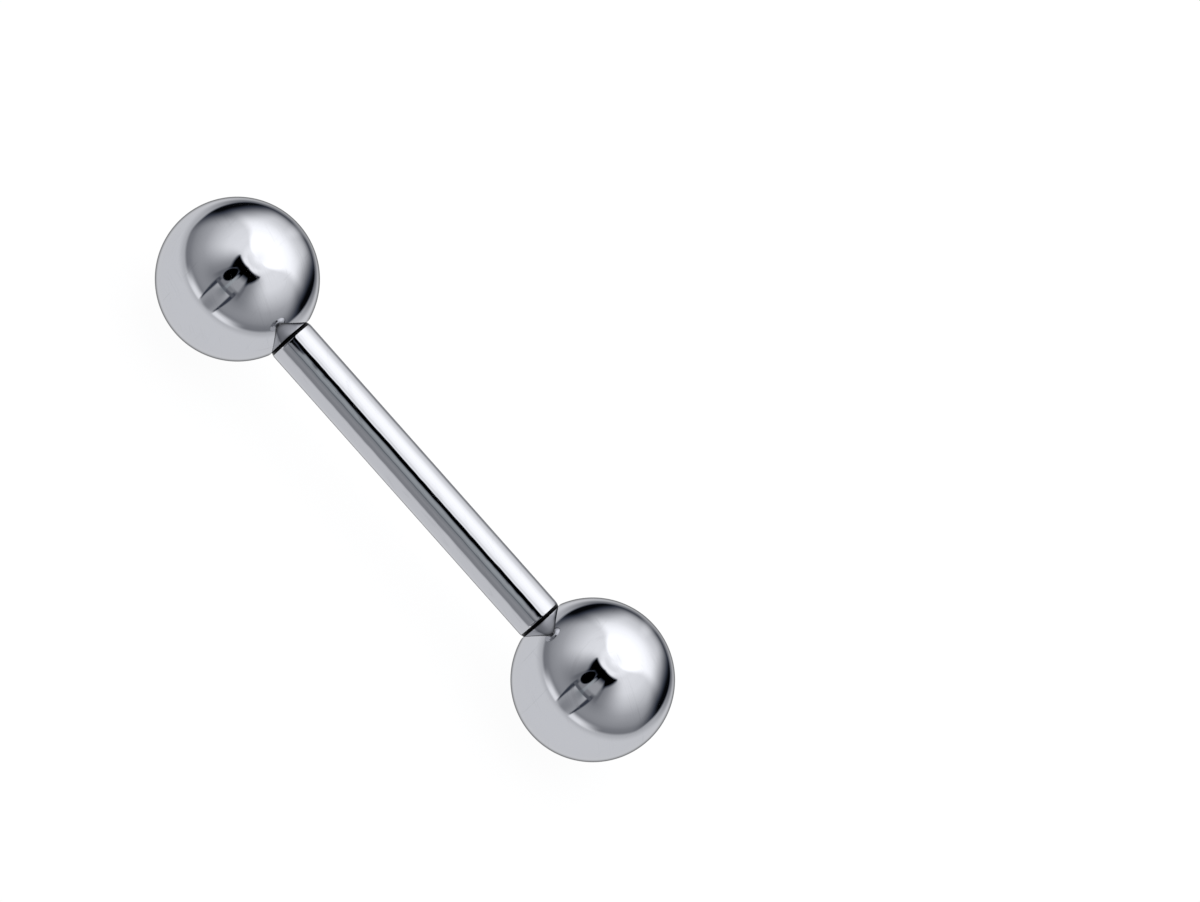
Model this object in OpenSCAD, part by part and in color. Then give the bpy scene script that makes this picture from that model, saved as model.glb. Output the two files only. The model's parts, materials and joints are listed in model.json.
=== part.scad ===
// Straight barbell: a polished steel bar, threaded at both ends, with a ball screwed onto each end.
// The bar's axis is X, and the origin is the middle of the bar, on its axis.

/* [Bar] */
// Diameter of the bar
bar_d = 1.6; // [1.2:0.1:2.4]
// Length of the bar between its two shoulders
bar_len = 12.2; // [6:0.1:40]
// Length of the taper that leads from each shoulder to its thread
taper_len = 0.35; // [0.25:0.05:0.45]

/* [Thread] */
// Diameter over the thread, as a share of the bar's diameter
thread_share = 0.87; // [0.8:0.01:0.92]
// Distance from one turn of the thread to the next
thread_pitch = 0.36; // [0.3:0.02:0.4]
// Turns of the thread at each end
thread_turns = 3.5; // [2.5:0.5:4.5]
// Length of the plain tip past the last turn
tip_len = 0.22; // [0.16:0.02:0.3]

/* [Balls] */
// Diameter of each ball
ball_d = 5.4; // [5:0.1:8]
// Gap between a shoulder and its ball, which shows as a dark line
seat_gap = 0.1; // [0.05:0.01:0.15]
// How much wider than the bar the mouth of a ball's hole is, on radius
mouth_lip = 0.05; // [0.01:0.01:0.1]
// Gap between the thread and the wall of a ball's hole, on radius
thread_gap = 0.03; // [0.02:0.01:0.06]
// Depth of a ball's hole past the tip of the thread
hole_spare = 0.3; // [0.2:0.05:0.4]

/* [Hidden] */

steel = [0.76, 0.77, 0.8];
// Facets of a full circle
round_fn = 96;

bar_r = bar_d / 2;
half_len = bar_len / 2;
thread_r = bar_r * thread_share;
// The taper's narrow end and the plain tip lie just inside the thread's crests
crest_relief = 0.03;
plain_r = thread_r - crest_relief;

// Section of the thread's ridge: flat crest, and flanks at 60 degrees to each other
flank_slope = tan(30);
ridge_h = thread_pitch * 0.5;
crest_w = thread_pitch * 0.25;
core_r = thread_r - ridge_h;
// The ridge reaches this far under the core's surface
ridge_sink = 0.05;
foot_r = core_r - ridge_sink;
foot_w = crest_w + 2 * (ridge_h + ridge_sink) * flank_slope;

// Stations along the ridge, and how many of them it takes to rise from the core at each end
turn_steps = 24;
ridge_steps = thread_turns * turn_steps;
rise_steps = turn_steps / 3;
least_rise = 0.3;

// Places along X, counted from a shoulder outwards
groove_margin = 0.02;
ridge_start = taper_len + groove_margin + foot_w / 2;
tip_start = ridge_start + thread_pitch * thread_turns + foot_w / 2 + groove_margin;
stub_len = tip_start + tip_len;
tip_break = 0.12;

// Ball and the hole in it, whose mouth lies seat_gap away from the shoulder
ball_r = ball_d / 2;
hole_r = thread_r + thread_gap;
mouth_r = bar_r + mouth_lip;
mouth_x = sqrt(ball_r * ball_r - mouth_r * mouth_r);
mouth_depth = taper_len;
hole_depth = stub_len - seat_gap + hole_spare;
// Drill point of 118 degrees at the hole's end
drill_tip = hole_r / tan(59);
ball_x = half_len + seat_gap + mouth_x;

// Half section of the bar's right half: radius, then place along the bar
bar_half_profile = [
    [bar_r, half_len],
    [plain_r, half_len + taper_len],
    [core_r, half_len + taper_len],
    [core_r, half_len + tip_start],
    [plain_r, half_len + tip_start],
    [plain_r, half_len + stub_len - tip_break],
    [plain_r - tip_break, half_len + stub_len],
    [0, half_len + stub_len]
];
bar_end = len(bar_half_profile) - 1;
bar_profile = concat(
    bar_half_profile,
    [for (i = [bar_end:-1:0]) [bar_half_profile[i].x, -bar_half_profile[i].y]]
);

// The cut for the hole starts this far outside the ball
cut_over = 0.5;
// Half section of the cut for a ball's hole: radius, then distance from the ball's centre
hole_profile = [
    [0, ball_r + cut_over],
    [mouth_r, ball_r + cut_over],
    [mouth_r, mouth_x],
    [hole_r, mouth_x - mouth_depth],
    [hole_r, mouth_x - hole_depth],
    [0, mouth_x - hole_depth - drill_tip]
];

// Radius of the ridge's crest at one station, lower at both ends of the ridge
function crest_r(i) =
    let (rise = min(1, i / rise_steps, (ridge_steps - i) / rise_steps))
    core_r + ridge_h * (least_rise + (1 - least_rise) * rise);

// The four corners of the ridge's section at one station
function ridge_section(i) =
    let (
        turn = 360 * i / turn_steps,
        mid = ridge_start + thread_pitch * i / turn_steps,
        corners = [
            [-foot_w / 2, foot_r],
            [-crest_w / 2, crest_r(i)],
            [crest_w / 2, crest_r(i)],
            [foot_w / 2, foot_r]
        ]
    )
    [for (c = corners) [mid + c.x, c.y * cos(turn), c.y * sin(turn)]];

// Right-handed ridge of the thread, standing on a shoulder at X = 0
module thread_ridge() {
    points = [for (i = [0:ridge_steps]) each ridge_section(i)];
    last = 4 * ridge_steps;
    sides = [
        for (i = [0:ridge_steps - 1], j = [0:3])
            let (a = 4 * i + j, b = 4 * i + (j + 1) % 4)
            each [[a, b, b + 4], [a, b + 4, a + 4]]
    ];
    polyhedron(
        points,
        concat([[0, 3, 2], [0, 2, 1]], sides, [[last, last + 1, last + 2], [last, last + 2, last + 3]])
    );
}

// The bar with a threaded stub at each end, all one piece
module bar() {
    color(steel) {
        rotate([0, 90, 0])
            rotate_extrude($fn = round_fn)
                polygon(bar_profile);
        for (side = [0, 180])
            rotate([0, 0, side])
                translate([half_len, 0, 0])
                    thread_ridge();
    }
}

// A ball centred on the origin, with its blind hole opening towards +X
module drilled_ball() {
    color(steel)
        difference() {
            sphere(r = ball_r, $fn = round_fn);
            rotate([0, 90, 0])
                rotate_extrude($fn = round_fn)
                    polygon(hole_profile);
        }
}

module ball_left() {
    translate([-ball_x, 0, 0])
        drilled_ball();
}

module ball_right() {
    translate([ball_x, 0, 0])
        rotate([0, 0, 180])
            drilled_ball();
}

bar();
ball_left();
ball_right();
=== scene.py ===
import json
import math

import bpy
from mathutils import Matrix, Vector


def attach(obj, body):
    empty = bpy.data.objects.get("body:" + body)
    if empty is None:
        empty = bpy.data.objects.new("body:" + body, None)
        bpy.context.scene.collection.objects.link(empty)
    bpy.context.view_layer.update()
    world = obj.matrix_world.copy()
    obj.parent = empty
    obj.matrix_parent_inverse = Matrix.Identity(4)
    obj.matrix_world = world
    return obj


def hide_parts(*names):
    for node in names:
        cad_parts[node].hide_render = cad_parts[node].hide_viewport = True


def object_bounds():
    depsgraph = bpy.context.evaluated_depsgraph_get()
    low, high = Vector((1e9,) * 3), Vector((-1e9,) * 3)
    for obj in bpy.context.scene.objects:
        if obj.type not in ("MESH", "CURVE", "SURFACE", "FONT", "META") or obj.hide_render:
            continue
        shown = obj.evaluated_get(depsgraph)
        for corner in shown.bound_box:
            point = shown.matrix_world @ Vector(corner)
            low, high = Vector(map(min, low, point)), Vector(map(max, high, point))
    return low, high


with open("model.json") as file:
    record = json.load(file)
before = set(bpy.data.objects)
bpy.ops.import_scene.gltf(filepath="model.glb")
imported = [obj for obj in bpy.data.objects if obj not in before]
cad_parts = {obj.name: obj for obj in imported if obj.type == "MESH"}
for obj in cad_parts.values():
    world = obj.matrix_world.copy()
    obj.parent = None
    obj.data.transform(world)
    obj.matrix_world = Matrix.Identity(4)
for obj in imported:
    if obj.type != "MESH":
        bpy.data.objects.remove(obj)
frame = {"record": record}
cad_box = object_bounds()

MM = 0.001

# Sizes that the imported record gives: the bar's radius, and its length between the two shoulders
shaft = next(mount for mount in frame["record"]["mounts"] if mount["name"] == "shaft")
BAR_R = shaft["dims"]["r_mm"] * MM
HALF_LEN = shaft["dims"]["length_mm"] * MM / 2

# Sizes repeated from the solids
BALL_R = 2.7 * MM
SEAT_GAP = 0.1 * MM
MOUTH_R = BAR_R + 0.05 * MM
TAPER_LEN = 0.35 * MM
THREAD_R = BAR_R * 0.87
PLAIN_R = THREAD_R - 0.03 * MM
PITCH = 0.36 * MM
TURNS = 3.5
RIDGE_H = PITCH * 0.5
CREST_W = PITCH * 0.25
CORE_R = THREAD_R - RIDGE_H
FLANK_SLOPE = math.tan(math.radians(30))
RIDGE_START = TAPER_LEN + 0.02 * MM + (CREST_W + 2 * (RIDGE_H + 0.05 * MM) * FLANK_SLOPE) / 2
TIP_START = 2 * RIDGE_START - TAPER_LEN + PITCH * TURNS
STUB_LEN = TIP_START + 0.22 * MM
TIP_BREAK = 0.12 * MM
HOLE_R = THREAD_R + 0.03 * MM
MOUTH_X = math.sqrt(BALL_R ** 2 - MOUTH_R ** 2)
HOLE_DEPTH = STUB_LEN - SEAT_GAP + 0.3 * MM
DRILL_TIP = HOLE_R / math.tan(math.radians(59))
BALL_X = HALF_LEN + SEAT_GAP + MOUTH_X

# Fine detail that only the visual pieces have
MOUTH_ROUND = 0.05 * MM
LIP_ROOM = 0.06 * MM
SHOULDER_ROUND = 0.45 * MM
TIP_ROUND = 0.03 * MM
GROOVE_DEEP = 0.09 * MM
POLISH_SHORT = 0.01 * MM
RUN_OUT_TURNS = 1 / 3
RUN_OUT_LOW = 0.3

# Fineness of the meshes, as counts of points or rows
AROUND = 240
ROUND_STEPS = 6
ROWS_A_PITCH = 18
BAR_ROWS = 12
BALL_ROWS = 120
GROOVE_ROWS_IN, GROOVE_ROWS_OUT = 6, 10
TIP_RINGS = (0.6, 0.3)
SHARP_ANGLE = math.radians(35)

# Colours of the two polishes. The bar's is the balls' colour painted 6% darker, as shade for the dimmer
# light that the bar mirrors
STEEL = (0.5495, 0.555, 0.58)
SHADED_BAR_STEEL = (0.517, 0.522, 0.5455)

# Directions that the fine scratches lie square to, and how closely they lie, per metre
BAR_GRAIN = ((0.02, 1, 0.1), (0.04, 0.5, -0.86), (0.3, 0.3, 0.9))
BALL_GRAIN = ((1, 0.1, 0.05), (0.3, 0.8, 0.5), (0.2, -0.5, 0.84))
SCRATCH_SCALES = (3600, 2900, 2300)
SCRATCH_WIDTH = 0.012
SCRATCH_DEEP = 0.05e-6
BEND_SCALE, BEND_SIZE = 260, 0.15 * MM
RUN_FADE = (0.5, 0.62)

# Polish: noise scales per metre, how rough it is, how much haze and scratches add to that, how much darker
# they make it, and where the edge tint ends, which paints shade on the outline, counted as 1 less the cosine
# of the view's angle
HAZE_SCALE, WAVE_SCALE = 900, 1500
HAZE_FADE = (0.35, 0.7)
ROUGH, HAZE_ROUGH, SCRATCH_ROUGH = 0.03, 0.015, 0.06
WORN_TONE = 0.93
SHADED_RIM_END = 0.95

# Turned steel: the tool's rings, and the painted shade beside the seam
RING_PITCH, RING_RELIEF = 0.02 * MM, 1.5e-6
CUT_SCALE = 2600
SEAM_SHADE_NEAR, SEAM_SHADE_FAR = 0.1 * MM, 0.3 * MM
SEAM_SHADE_TONE = 0.008

# Light tent. Its places are given by two angles in degrees. Turn is 0 straight behind the object and 180
# on the camera's side, the same to left and right. Height is counted from the horizon. A level is the
# brightness, 0 to 255, that polished steel shows when it mirrors a place. These are heights with levels
SIDE_LEVELS = (
    (-20, 112), (-11, 112), (-5, 120), (0, 134), (15, 157), (30, 190), (45, 214), (60, 220), (66, 219),
    (75, 236), (85, 247), (90, 248),
)
BACK_LEVELS = (
    (-20, 62), (-10, 62), (-6, 92), (-2, 135), (5, 171), (15, 197), (22, 206), (30, 221), (37, 237),
    (45, 250), (60, 262), (80, 258), (90, 248),
)
STRIP_LEVELS = (
    (-46, 195), (-24, 180), (-15, 128), (-8, 114), (-2, 156), (5, 190), (15, 209), (24, 216), (34, 230),
)
CARD_LEVELS = ((-15, 158), (-10, 146), (0, 143), (10, 146), (22, 162))
COLUMN_LEVELS = ((-14, 126), (-4, 128), (7, 137), (20, 126), (30, 138), (38, 152), (46, 142), (51, 100))

# Back wall: the turn of its edges, which widen above a height
BACK_TURN, BACK_SOFT = 53, 8
WIDEN_HEIGHT, WIDEN = 45, 0.045

# Black corners: the place of their peaks, how steeply they fall to either side, and how long they fade
CORNER_TURN, CORNER_TOP = 45, 38
CORNER_FALL_BACK, CORNER_FALL_SIDE = 0.024, 0.016
CORNER_FADE = 38

# Opening: the card's side edge at the horizon and how it leans, half the width of the slit along it at its
# foot and at its head, the middle of the leg, and the column's side edge beside the card and beside the lens
CARD_TURN, CARD_LEAN = 166.9, -0.12
SLIT_FOOT, SLIT_HEAD = 0.9, 3.2
LEG_TURN = 157
COLUMN_TURN_LOW, COLUMN_TURN_HIGH = 168.5, 176.8

# Lens: centre and half sizes
LENS_TURN, LENS_HEIGHT = 167.5, 43
LENS_HALF_TURN, LENS_HALF_HEIGHT = 10, 12.2

# Tint: how much bluer and how much less red than the light, by its share up to a limit, and how much red
# the column's upper half keeps
CHILL, CHILL_LIMIT = 0.4, 0.024
CHILL_RED = -0.375
COLUMN_RED = 0.95

# White light table under the part
TABLE_HALF, TABLE_DROP = 1.5, 0.01 * MM
TABLE_COLOUR, TABLE_GLOW = (0.07, 0.07, 0.0715, 1), 0.945

# Camera, square to the bar, and as high and as turned as in the photo
CAMERA_HEIGHT = math.radians(46)
AXIS_RIGHT, AXIS_DOWN = 0.6634, 0.7483
LENS_MM, SENSOR_MM = 200, 36
PIXELS_A_MM = 30.54
FRAME_W, FRAME_H = 1200, 902
CENTRE_PX = (415.2, 479.6)


# Shader trees


class Graph:
    """Adds nodes to one shader tree. Each input takes a number, a colour or another node's output."""

    def __init__(self, tree):
        self.tree = tree
        tree.nodes.clear()

    def add(self, kind, inputs=None, **settings):
        node = self.tree.nodes.new("ShaderNode" + kind)
        for name, value in settings.items():
            setattr(node, name, value)
        for name, value in (inputs or {}).items():
            self.put(node.inputs[name], value)
        return node

    def put(self, socket, value):
        if isinstance(value, bpy.types.NodeSocket):
            self.tree.links.new(value, socket)
        else:
            socket.default_value = value

    def calc(self, operation, *values):
        node = self.add("Math", operation=operation)
        for socket, value in zip(node.inputs, values):
            self.put(socket, value)
        return node.outputs[0]

    def line(self, value, slope, start):
        """Value times slope, plus start."""
        return self.calc("MULTIPLY_ADD", value, slope, start)

    def step(self, value, low, high):
        """Smooth step from 0 at low to 1 at high; it falls where low is above high."""
        node = self.add("MapRange", {"Value": value, "From Min": low, "From Max": high},
                        interpolation_type="SMOOTHSTEP")
        return node.outputs["Result"]

    def both(self, *masks):
        result = masks[0]
        for mask in masks[1:]:
            result = self.calc("MULTIPLY", result, mask)
        return result

    def mix(self, below, above, mask):
        node = self.add("Mix", data_type="FLOAT")
        for name, value in (("Factor", mask), ("A", below), ("B", above)):
            self.put(node.inputs[name], value)
        return node.outputs["Result"]

    def noise(self, place, scale, detail, **inputs):
        settings = {"Vector": place, "Scale": scale, "Detail": detail, **inputs}
        return self.add("TexNoise", settings).outputs["Fac"]

    def grey(self, value, blue=None):
        """Colour of one brightness, or with its own brightness for blue."""
        parts = {"Red": value, "Green": value, "Blue": value if blue is None else blue}
        return self.add("CombineColor", parts).outputs[0]

    def finish(self, shader, output="OutputMaterial"):
        self.put(self.add(output).inputs["Surface"], shader.outputs[0])


# Studio


def seen(level):
    """Radiance that polished steel mirrors as this level on the screen."""
    value = level / 255
    linear = value / 12.92 if value <= 0.04045 else ((value + 0.055) / 1.055) ** 2.4
    return linear / STEEL[1]


class Tent(Graph):
    """The studio's tree. Light is what has been painted so far, one place over another."""

    def __init__(self, tree):
        super().__init__(tree)
        parts = self.add("SeparateXYZ", {"Vector": self.add("TexCoord").outputs["Generated"]}).outputs
        degree = math.degrees(1)
        around = self.calc("ARCTAN2", self.calc("ABSOLUTE", parts["X"]), parts["Y"])
        self.turn = self.calc("MULTIPLY", around, degree)
        self.height = self.calc("MULTIPLY", self.calc("ARCSINE", parts["Z"]), degree)
        self.on_left = self.step(parts["X"], 0.01, -0.01)
        self.light = 0

    def patch(self, turn=(), height=()):
        """Mask with soft edges. An edge is a pair: the angle where it is 0, and the angle where it is 1."""
        edges = [self.step(self.turn, *edge) for edge in turn]
        edges += [self.step(self.height, *edge) for edge in height]
        return self.both(*edges)

    def paint(self, light, mask, strength=1):
        """Covers what is there where mask is 1, or lets some of it through where strength is below 1."""
        cover = mask if strength == 1 else self.calc("MULTIPLY", mask, strength)
        self.light = self.mix(self.light, light, cover)

    def levels(self, stops):
        """Light by height, from pairs of a height and a level in rising order."""
        low, high = stops[0][0], stops[-1][0]
        spread = self.add("MapRange", {"Value": self.height, "From Min": low, "From Max": high})
        ramp = self.add("ValToRGB", {"Fac": spread.outputs["Result"]})
        ramp.color_ramp.interpolation = "LINEAR"
        elements = ramp.color_ramp.elements
        while len(elements) < len(stops):
            elements.new(0.5)
        top = max(seen(level) for _, level in stops)
        for element, (height, level) in zip(elements, stops):
            element.position = (height - low) / (high - low)
            element.color = (seen(level) / top,) * 3 + (1,)
        return self.calc("MULTIPLY", ramp.outputs["Color"], top)


def paint_walls(tent):
    """Grey side walls, darker towards the camera's side, a white back wall, and black corners between."""
    tent.light = tent.levels(SIDE_LEVELS)
    tent.paint(seen(120), tent.patch(turn=[(106, 156)], height=[(-8, 24), (70, 58)]))

    over = tent.calc("MAXIMUM", tent.calc("SUBTRACT", tent.height, WIDEN_HEIGHT), 0)
    edge = tent.line(tent.calc("MULTIPLY", over, over), slope=WIDEN, start=BACK_TURN)
    inside = tent.step(tent.calc("SUBTRACT", tent.turn, edge), BACK_SOFT, -BACK_SOFT)
    tent.paint(tent.levels(BACK_LEVELS), inside)

    off = tent.calc("SUBTRACT", tent.turn, CORNER_TURN)
    fall = tent.mix(CORNER_FALL_BACK, CORNER_FALL_SIDE, tent.step(off, -1, 1))
    outline = tent.calc("SUBTRACT", CORNER_TOP, tent.both(off, off, fall))
    below = tent.step(tent.calc("SUBTRACT", tent.height, outline), 0, -CORNER_FADE)
    tent.paint(seen(6), tent.both(below, tent.patch(turn=[(90, 54), (3, 25)])))


def paint_floor(tent):
    """Floor, dark in the distance behind, with a strip straight behind that the bar's upper edge mirrors."""
    # The floor's far edge, which rises a little under the black corners
    edge = tent.line(tent.patch(turn=[(20, 45)]), slope=2.5, start=-11.5)
    edge = tent.line(tent.patch(turn=[(62, 84)]), slope=-3.5, start=edge)
    light = tent.mix(seen(193), seen(166), tent.patch(height=[(-26, -12)]))
    light = tent.mix(light, seen(102), tent.patch(turn=[(62, 22)], height=[(-27, -12)]))
    tent.paint(light, tent.step(tent.calc("SUBTRACT", tent.height, edge), 2.5, -2.5))
    tent.paint(tent.levels(STRIP_LEVELS), tent.patch(turn=[(6, 0.6)], height=[(34, 26)]))


def paint_opening(tent):
    """Opening on the camera's side: a light card with dark slits beside it, and dim cloth and legs."""
    # How far a place lies inside the card's side edge, which leans
    inside = tent.calc("SUBTRACT", tent.turn, tent.line(tent.height, slope=CARD_LEAN, start=CARD_TURN))
    foot = tent.patch(turn=[(122, 156)], height=[(-18, -14), (-3, -12)])
    tent.paint(seen(218), tent.both(foot, tent.step(inside, 0.5, -2)))
    cloth = tent.mix(seen(147), seen(122), tent.on_left)
    tent.paint(cloth, tent.patch(turn=[(155, 161)], height=[(30, 35), (60, 54)]))
    card = tent.both(tent.step(inside, 0.5, 2.5), tent.patch(height=[(-15, -12), (24, 21)]))
    tent.paint(tent.levels(CARD_LEVELS), card)
    half = tent.mix(SLIT_FOOT, SLIT_HEAD, tent.patch(height=[(-14, 24)]))
    off_slit = tent.calc("DIVIDE", tent.calc("ABSOLUTE", inside), half)
    slit = tent.both(tent.step(off_slit, 1.4, 0.4), tent.patch(height=[(-14, -4), (34, 25)]))
    tent.paint(seen(52), slit)
    off_leg = tent.calc("ABSOLUTE", tent.calc("SUBTRACT", tent.turn, LEG_TURN))
    leg = tent.both(tent.step(off_leg, 6, 1), tent.patch(height=[(16, 32), (56, 44)]))
    tent.paint(seen(60), leg, strength=0.45)


def paint_gap(tent):
    """Black gap over the lens, with a bright hem and a dim crease over it."""
    crease = tent.patch(turn=[(90, 150)], height=[(71.5, 74.5), (86, 76)])
    tent.paint(seen(218), crease, strength=0.8)
    tent.paint(seen(236), tent.patch(turn=[(132, 150)], height=[(66, 69), (75, 71)]))

    top = tent.line(tent.turn, slope=0.08, start=54)
    low = tent.calc("MAXIMUM", tent.line(tent.turn, slope=-0.56, start=135), 46.5)
    low = tent.line(tent.patch(turn=[(155, 162)]), slope=8, start=low)
    low = tent.line(tent.patch(turn=[(174, 177)]), slope=-4.5, start=low)
    low_soft = tent.mix(-4, -9, tent.patch(turn=[(150, 160)]))
    gap = tent.both(
        tent.step(tent.calc("SUBTRACT", tent.height, top), 1.7, -1.7),
        tent.step(tent.calc("SUBTRACT", tent.height, low), low_soft, 3),
        tent.patch(turn=[(126, 130)]),
    )
    tent.paint(0, gap)


def paint_column(tent):
    """Column straight under the camera, which fades into the card, and a dim ledge over the card."""
    edge = tent.mix(COLUMN_TURN_LOW, COLUMN_TURN_HIGH, tent.patch(height=[(17, 27)]))
    column = tent.both(tent.step(tent.turn, edge, 178.4), tent.patch(height=[(-19, -12), (53.5, 49)]))
    tent.paint(tent.levels(COLUMN_LEVELS), column)
    ledge = tent.patch(turn=[(160, 164)], height=[(20.5, 22.5), (28, 24.5)])
    tent.paint(tent.mix(seen(84), seen(98), column), ledge)
    return column


def paint_lens(tent):
    """Round black lens, on the left only, because the bar would mirror one on the right or in the middle."""
    wide = tent.calc("DIVIDE", tent.calc("SUBTRACT", tent.turn, LENS_TURN), LENS_HALF_TURN)
    tall = tent.calc("DIVIDE", tent.calc("SUBTRACT", tent.height, LENS_HEIGHT), LENS_HALF_HEIGHT)
    squares = tent.calc("ADD", tent.calc("MULTIPLY", wide, wide), tent.calc("MULTIPLY", tall, tall))
    lens = tent.step(tent.calc("SQRT", squares), 1.07, 0.9)
    tent.paint(0, tent.both(lens, tent.on_left))


def tinted(tent, column):
    """The light's colour: the dimmer the place, the bluer it is, and the column's upper half is cooler."""
    chill = tent.calc("MINIMUM", tent.calc("MULTIPLY", tent.light, CHILL), CHILL_LIMIT)
    red = tent.line(chill, slope=CHILL_RED, start=tent.light)
    cool = tent.mix(1, COLUMN_RED, tent.both(column, tent.patch(height=[(12, 26)])))
    parts = {
        "Red": tent.calc("MULTIPLY", red, cool),
        "Green": tent.light,
        "Blue": tent.calc("ADD", chill, tent.light),
    }
    return tent.add("CombineColor", parts).outputs[0]


def make_world():
    """Light tent: white behind and above, grey sides, black corners, and a gap for the camera."""
    world = bpy.data.worlds.new("studio")
    world.use_nodes = True
    bpy.context.scene.world = world
    tent = Tent(world.node_tree)
    paint_walls(tent)
    paint_floor(tent)
    paint_opening(tent)
    paint_gap(tent)
    column = paint_column(tent)
    paint_lens(tent)
    lit = tent.add("Background", {"Color": tinted(tent, column), "Strength": 1.0})
    plain = tent.add("Background", {"Color": (1, 1, 1, 1), "Strength": 1.0})
    choice = tent.add("MixShader", {"Fac": tent.add("LightPath").outputs["Is Camera Ray"]})
    tent.put(choice.inputs[1], lit.outputs[0])
    tent.put(choice.inputs[2], plain.outputs[0])
    tent.finish(choice, "OutputWorld")


def make_floor():
    """A white light table, on which the two balls rest."""
    mesh = bpy.data.meshes.new("floor")
    level = cad_box[0].z - TABLE_DROP
    corners = [(x * TABLE_HALF, y * TABLE_HALF, level) for x, y in ((-1, -1), (1, -1), (1, 1), (-1, 1))]
    mesh.from_pydata(corners, [], [(0, 1, 2, 3)])
    floor = bpy.data.objects.new("floor", mesh)
    bpy.context.collection.objects.link(floor)
    floor.visible_glossy = False
    material, g = new_material("white_table")
    g.finish(g.add("BsdfPrincipled", {
        "Base Color": TABLE_COLOUR,
        "Roughness": 0.9,
        "Specular IOR Level": 0.0,
        "Emission Color": (1, 1, 1, 1),
        "Emission Strength": TABLE_GLOW,
    }))
    mesh.materials.append(material)


# Materials


def new_material(name):
    material = bpy.data.materials.new(name)
    material.use_nodes = True
    return material, Graph(material.node_tree)


def hairlines(g, place, across, scale):
    """Fine scratches square to the direction across, broken into short runs: 1 on a scratch, 0 off it."""
    depth = g.add("VectorMath", operation="DOT_PRODUCT")
    g.put(depth.inputs[0], place)
    g.put(depth.inputs[1], across)
    bent = g.line(g.noise(place, BEND_SCALE, 0), slope=BEND_SIZE, start=depth.outputs["Value"])
    lines = g.add("TexNoise", {"W": bent, "Scale": scale, "Detail": 2}, noise_dimensions="1D")
    off = g.calc("ABSOLUTE", g.calc("SUBTRACT", lines.outputs["Fac"], 0.5))
    runs = g.noise(place, scale / 3, 1)
    return g.both(g.step(off, SCRATCH_WIDTH, 0), g.step(runs, *RUN_FADE))


def polished_steel(name, colour, grain, wavy, shaded_rim_start, gloss):
    """Mirror polish: faint haze, hair-fine scratches, a slight waviness, and a painted dark outline.

    The scratches are square to the directions in grain. Wavy is the height of the waves in metres. Gloss
    is the edge tint. From the start of the shaded rim to its end it falls to nothing: painted shade that
    makes the outline stand out darker.
    """
    material, g = new_material(name)
    place = g.add("TexCoord").outputs["Object"]
    haze = g.noise(place, HAZE_SCALE, 4, Roughness=0.6)
    marks = 0
    for across, scale in zip(grain, SCRATCH_SCALES):
        marks = g.calc("MAXIMUM", marks, hairlines(g, place, across, scale))
    rough = g.line(g.step(haze, *HAZE_FADE), slope=HAZE_ROUGH, start=ROUGH)
    rough = g.line(marks, slope=SCRATCH_ROUGH, start=rough)
    tone = g.add("Mix", data_type="RGBA")
    g.put(tone.inputs["Factor"], g.line(haze, slope=0.3, start=g.calc("MULTIPLY", marks, 0.7)))
    g.put(tone.inputs[6], colour + (1,))
    g.put(tone.inputs[7], tuple(WORN_TONE * part for part in colour) + (1,))
    scratched = g.calc("MULTIPLY", marks, -SCRATCH_DEEP)
    relief = g.line(g.noise(place, WAVE_SCALE, 1), slope=wavy, start=scratched)
    bump = g.add("Bump", {"Strength": 1.0, "Distance": 1.0, "Height": relief})
    facing = g.add("LayerWeight", {"Blend": 0.5}).outputs["Facing"]
    # Painted shade: the edge tint falls to nothing towards the outline, so the outline looks darker
    edge = g.calc("MULTIPLY", g.step(facing, SHADED_RIM_END, shaded_rim_start), gloss)
    g.finish(g.add("BsdfPrincipled", {
        "Base Color": tone.outputs[2],
        "Metallic": 1.0,
        "Roughness": rough,
        "Normal": bump.outputs[0],
        "Specular Tint": g.grey(edge),
    }))
    return material


def machined_steel(name, seam):
    """Turned steel with fine tool rings. Close to seam, its distance from the middle, it is painted dark, as
    shade in the seam's gap.
    """
    material, g = new_material(name)
    place = g.add("TexCoord").outputs["Object"]
    along = g.add("SeparateXYZ", {"Vector": place}).outputs["X"]
    from_seam = g.calc("ABSOLUTE", g.calc("SUBTRACT", g.calc("ABSOLUTE", along), seam))
    out_of_seam_shade = g.step(from_seam, SEAM_SHADE_NEAR, SEAM_SHADE_FAR)
    wave = g.noise(place, CUT_SCALE, 5, Roughness=0.65)
    rings = g.calc("SINE", g.line(along, 2 * math.pi / RING_PITCH, g.calc("MULTIPLY", wave, 3)))
    # Painted shade: the base colour is nearly black close to the seam, where the gap between bar and ball
    # lies in shadow
    shade = g.mix(SEAM_SHADE_TONE, g.line(wave, slope=0.24, start=0.24), out_of_seam_shade)
    bump = g.add("Bump", {"Strength": 0.4, "Distance": RING_RELIEF, "Height": rings})
    g.finish(g.add("BsdfPrincipled", {
        "Base Color": g.grey(shade, g.calc("MULTIPLY", shade, 1.05)),
        "Metallic": 1.0,
        "Roughness": g.line(wave, slope=0.25, start=0.2),
        "Normal": bump.outputs[0],
    }))
    return material


# Shapes. A row is a place along X, a radius or a function of the turn that gives one, and a slot, which
# is the material from there to the next row

POLISHED, MACHINED = 0, 1


def rounded(before, corner, after, radius):
    """Points of the arc that rounds one corner of a profile."""
    before, corner, after = Vector(before), Vector(corner), Vector(after)
    a, b = (before - corner).normalized(), (after - corner).normalized()
    half = a.angle(b) / 2
    cut = radius / math.tan(half)
    centre = corner + (a + b).normalized() * (radius / math.sin(half))
    start, end = corner + a * cut - centre, corner + b * cut - centre
    sweep = start.angle_signed(end)
    return [centre + Matrix.Rotation(-sweep * i / ROUND_STEPS, 2) @ start for i in range(ROUND_STEPS + 1)]


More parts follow.
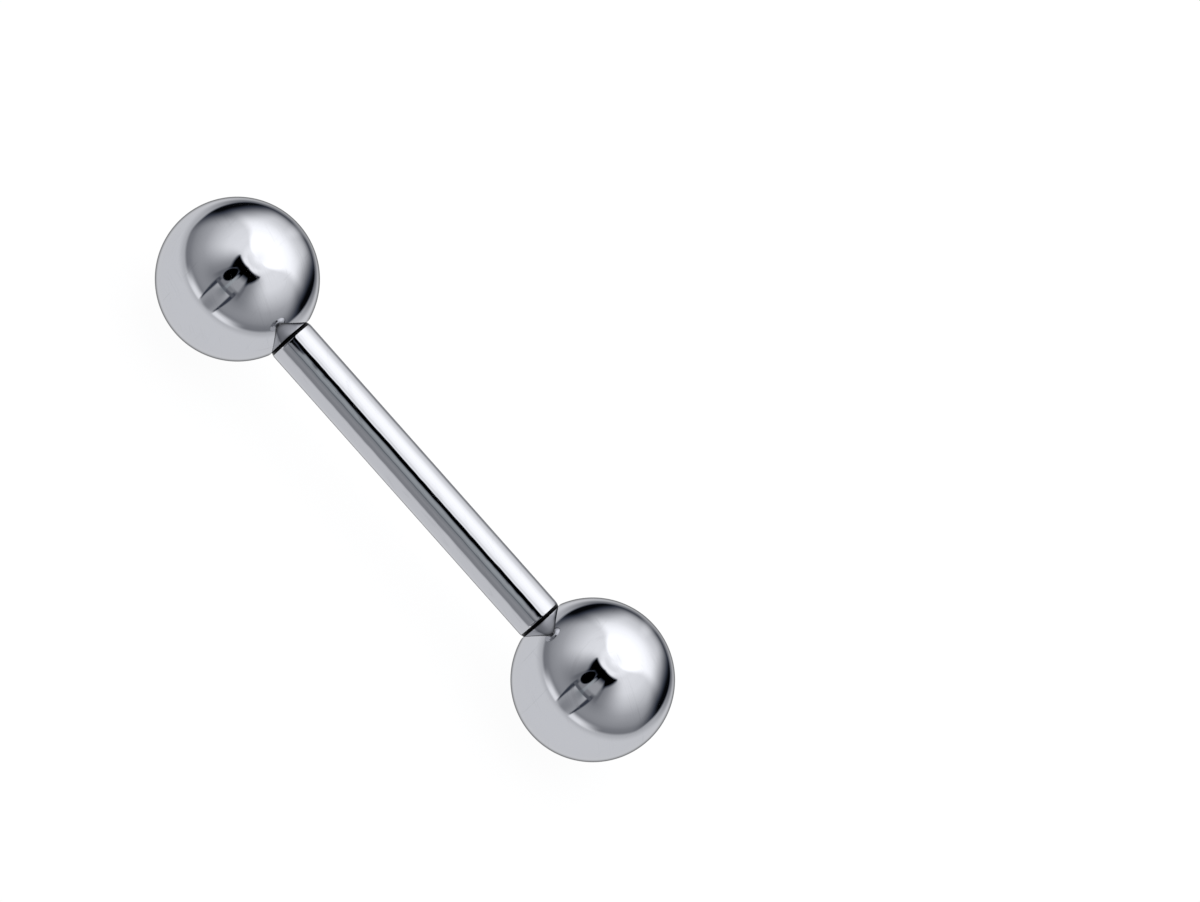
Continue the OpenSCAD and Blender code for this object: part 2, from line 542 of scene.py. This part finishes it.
def revolve(name, rows, materials):
    """Mesh of revolution about X."""
    verts, faces, slots, rings = [], [], [], []
    for x, radius, _ in rows:
        if not callable(radius) and radius == 0:
            rings.append([len(verts)])
            verts.append((x, 0, 0))
            continue
        rings.append(range(len(verts), len(verts) + AROUND))
        for i in range(AROUND):
            turn = 2 * math.pi * i / AROUND
            r = radius(turn) if callable(radius) else radius
            verts.append((x, r * math.cos(turn), r * math.sin(turn)))
    for low, high, (_, _, slot) in zip(rings, rings[1:], rows):
        for i in range(AROUND):
            j = (i + 1) % AROUND
            if len(low) == 1:
                faces.append((low[0], high[j], high[i]))
            elif len(high) == 1:
                faces.append((low[i], low[j], high[0]))
            else:
                faces.append((low[i], low[j], high[j], high[i]))
            slots.append(slot)
    mesh = bpy.data.meshes.new(name)
    mesh.from_pydata(verts, [], faces)
    mesh.polygons.foreach_set("material_index", slots)
    mesh.polygons.foreach_set("use_smooth", [True] * len(faces))
    for material in materials:
        mesh.materials.append(material)
    mesh.validate()
    mesh.update()
    mesh.set_sharp_from_angle(angle=SHARP_ANGLE)
    obj = bpy.data.objects.new(name, mesh)
    bpy.context.collection.objects.link(obj)
    return obj


def mirrored(rows):
    """Rows from the other side of the middle, in rising order again."""
    slots = [rows[0][2]] + [slot for _, _, slot in rows[:-1]]
    return [(-x, radius, slot) for (x, radius, _), slot in zip(reversed(rows), reversed(slots))]


def ridge_height(x, turn):
    """Height of the thread's ridge over its core, at a place counted outwards from a shoulder."""
    along = (x - RIDGE_START) / PITCH - turn / (2 * math.pi)
    nearest = min(max(round(along), -1), round(TURNS))
    middle = nearest + turn / (2 * math.pi)
    if middle < 0 or middle > TURNS:
        return 0
    rise = min(1, middle / RUN_OUT_TURNS, (TURNS - middle) / RUN_OUT_TURNS)
    crest = RIDGE_H * (RUN_OUT_LOW + (1 - RUN_OUT_LOW) * rise)
    side = abs(along - nearest) * PITCH - CREST_W / 2
    return max(0, crest - max(0, side) / FLANK_SLOPE)


def stub_rows():
    """Rows of the bar's right half, from its middle outwards."""
    rows = [(HALF_LEN * i / BAR_ROWS, BAR_R, POLISHED) for i in range(BAR_ROWS)]
    taper_end = (HALF_LEN + TAPER_LEN, PLAIN_R)
    shoulder = rounded((0, BAR_R), (HALF_LEN, BAR_R), taper_end, SHOULDER_ROUND)
    rows += [(p.x, p.y, POLISHED if p.x < HALF_LEN - POLISH_SHORT else MACHINED) for p in shoulder]
    rows.append((*taper_end, MACHINED))
    steps = round((TIP_START - TAPER_LEN) / PITCH * ROWS_A_PITCH)
    for i in range(steps + 1):
        x = TAPER_LEN + (TIP_START - TAPER_LEN) * i / steps
        rows.append((HALF_LEN + x, lambda turn, x=x: CORE_R + ridge_height(x, turn), MACHINED))
    end = HALF_LEN + STUB_LEN
    rows.append((HALF_LEN + TIP_START, PLAIN_R, MACHINED))
    side_corner, end_corner = (end - TIP_BREAK, PLAIN_R), (end, PLAIN_R - TIP_BREAK)
    tip = rounded((HALF_LEN, PLAIN_R), side_corner, end_corner, TIP_ROUND)
    tip += rounded(side_corner, end_corner, (end, 0), TIP_ROUND)
    rows += [(p.x, p.y, MACHINED) for p in tip]
    rows += [(end, (PLAIN_R - TIP_BREAK) * share, MACHINED) for share in TIP_RINGS]
    rows.append((end, 0, MACHINED))
    return rows


def make_bar(materials):
    """The bar, whose left half is mirrored with its thread turned over, so that both are right-handed."""
    right = stub_rows()
    left = []
    for x, radius, slot in mirrored(right)[:-1]:
        if callable(radius):
            left.append((x, lambda turn, radius=radius: radius(math.pi - turn), slot))
        else:
            left.append((x, radius, slot))
    return revolve("polished_bar", left + right, materials)


def hole_wall(side, out, fade):
    """Radius of a ball's threaded hole by turn, at a place counted outwards from the bar's shoulder."""
    def radius(turn):
        phase = turn if side > 0 else math.pi - turn
        along = (out - RIDGE_START) / PITCH - phase / (2 * math.pi)
        off = abs(along - round(along)) * PITCH - CREST_W / 2
        return HOLE_R + fade * GROOVE_DEEP * max(0, 1 - max(0, off) / (0.5 * GROOVE_DEEP))

    return radius


def ball_rows(side):
    """Rows of a ball round its own centre, from its far end over its outside and down into its hole."""
    last = math.asin(MOUTH_R / BALL_R)
    # The sphere stops a little before the mouth, to leave room for the mouth's rounding
    stop = last + LIP_ROOM / BALL_R
    rows = [(-BALL_R, 0, POLISHED)]
    for i in range(1, BALL_ROWS + 1):
        angle = math.pi + (stop - math.pi) * i / BALL_ROWS
        rows.append((BALL_R * math.cos(angle), BALL_R * math.sin(angle), POLISHED))
    mouth = (MOUTH_X, MOUTH_R)
    sphere_side = Vector(mouth) + Vector((-math.sin(last), math.cos(last))) * BALL_R
    throat_x = MOUTH_X - TAPER_LEN
    lip = rounded(sphere_side, mouth, (throat_x, HOLE_R), MOUTH_ROUND)
    rows += [(p.x, p.y, POLISHED if i < ROUND_STEPS else MACHINED) for i, p in enumerate(lip)]
    rows.append((throat_x, HOLE_R, MACHINED))
    end_x = MOUTH_X - HOLE_DEPTH
    steps = round((throat_x - end_x) / PITCH * ROWS_A_PITCH)
    for i in range(1, steps):
        x = throat_x + (end_x - throat_x) * i / steps
        fade = min(1, i / GROOVE_ROWS_IN, (steps - i) / GROOVE_ROWS_OUT)
        rows.append((x, hole_wall(side, MOUTH_X - x + SEAT_GAP, fade), MACHINED))
    rows.append((end_x, HOLE_R, MACHINED))
    rows.append((end_x - DRILL_TIP, 0, MACHINED))
    return rows


def make_ball(name, side, materials):
    """One ball, whose hole opens towards the bar's middle. Side is -1 on the left and 1 on the right."""
    rows = [(x - BALL_X, radius, slot) for x, radius, slot in ball_rows(side)]
    return revolve(name, mirrored(rows) if side > 0 else rows, materials)


# Camera


def make_camera():
    data = bpy.data.cameras.new("camera")
    data.lens, data.sensor_width = LENS_MM, SENSOR_MM
    data.clip_start, data.clip_end = 0.01, 10
    data.dof.use_dof = False
    camera = bpy.data.objects.new("camera", data)
    bpy.context.collection.objects.link(camera)
    towards = Vector((0, -math.cos(CAMERA_HEIGHT), math.sin(CAMERA_HEIGHT)))
    level = Vector((0, math.sin(CAMERA_HEIGHT), math.cos(CAMERA_HEIGHT)))
    right = AXIS_RIGHT * Vector((1, 0, 0)) + AXIS_DOWN * level
    up = AXIS_RIGHT * level - AXIS_DOWN * Vector((1, 0, 0))
    place = towards * (FRAME_W / PIXELS_A_MM * MM / SENSOR_MM * LENS_MM)
    aim = right * ((FRAME_W / 2 - CENTRE_PX[0]) / PIXELS_A_MM * MM)
    aim -= up * ((FRAME_H / 2 - CENTRE_PX[1]) / PIXELS_A_MM * MM)
    back = (place - aim).normalized()
    side = up.cross(back).normalized()
    turned = Matrix((side, back.cross(side), back)).transposed()
    camera.matrix_world = Matrix.Translation(place) @ turned.to_4x4()
    bpy.context.scene.camera = camera


make_world()
make_floor()
make_camera()
bpy.context.scene.view_settings.view_transform = "Standard"

# The bar's steel colour is painted darker than the balls' as shade
bar_skin = polished_steel("polished_bar_steel", SHADED_BAR_STEEL, BAR_GRAIN, wavy=9e-6, shaded_rim_start=0.66, gloss=0.95)
ball_skin = polished_steel("polished_ball_steel", STEEL, BALL_GRAIN, wavy=0.8e-6, shaded_rim_start=0.72, gloss=0.85)
bar_cut = machined_steel("machined_bar_steel", HALF_LEN)
ball_cut = machined_steel("machined_ball_steel", 0)

bar = make_bar([bar_skin, bar_cut])
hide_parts("bar")
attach(bar, "bar")

for side, node in ((-1, "ball_left"), (1, "ball_right")):
    ball = make_ball("polished_" + node, side, [ball_skin, ball_cut])
    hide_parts(node)
    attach(ball, node)
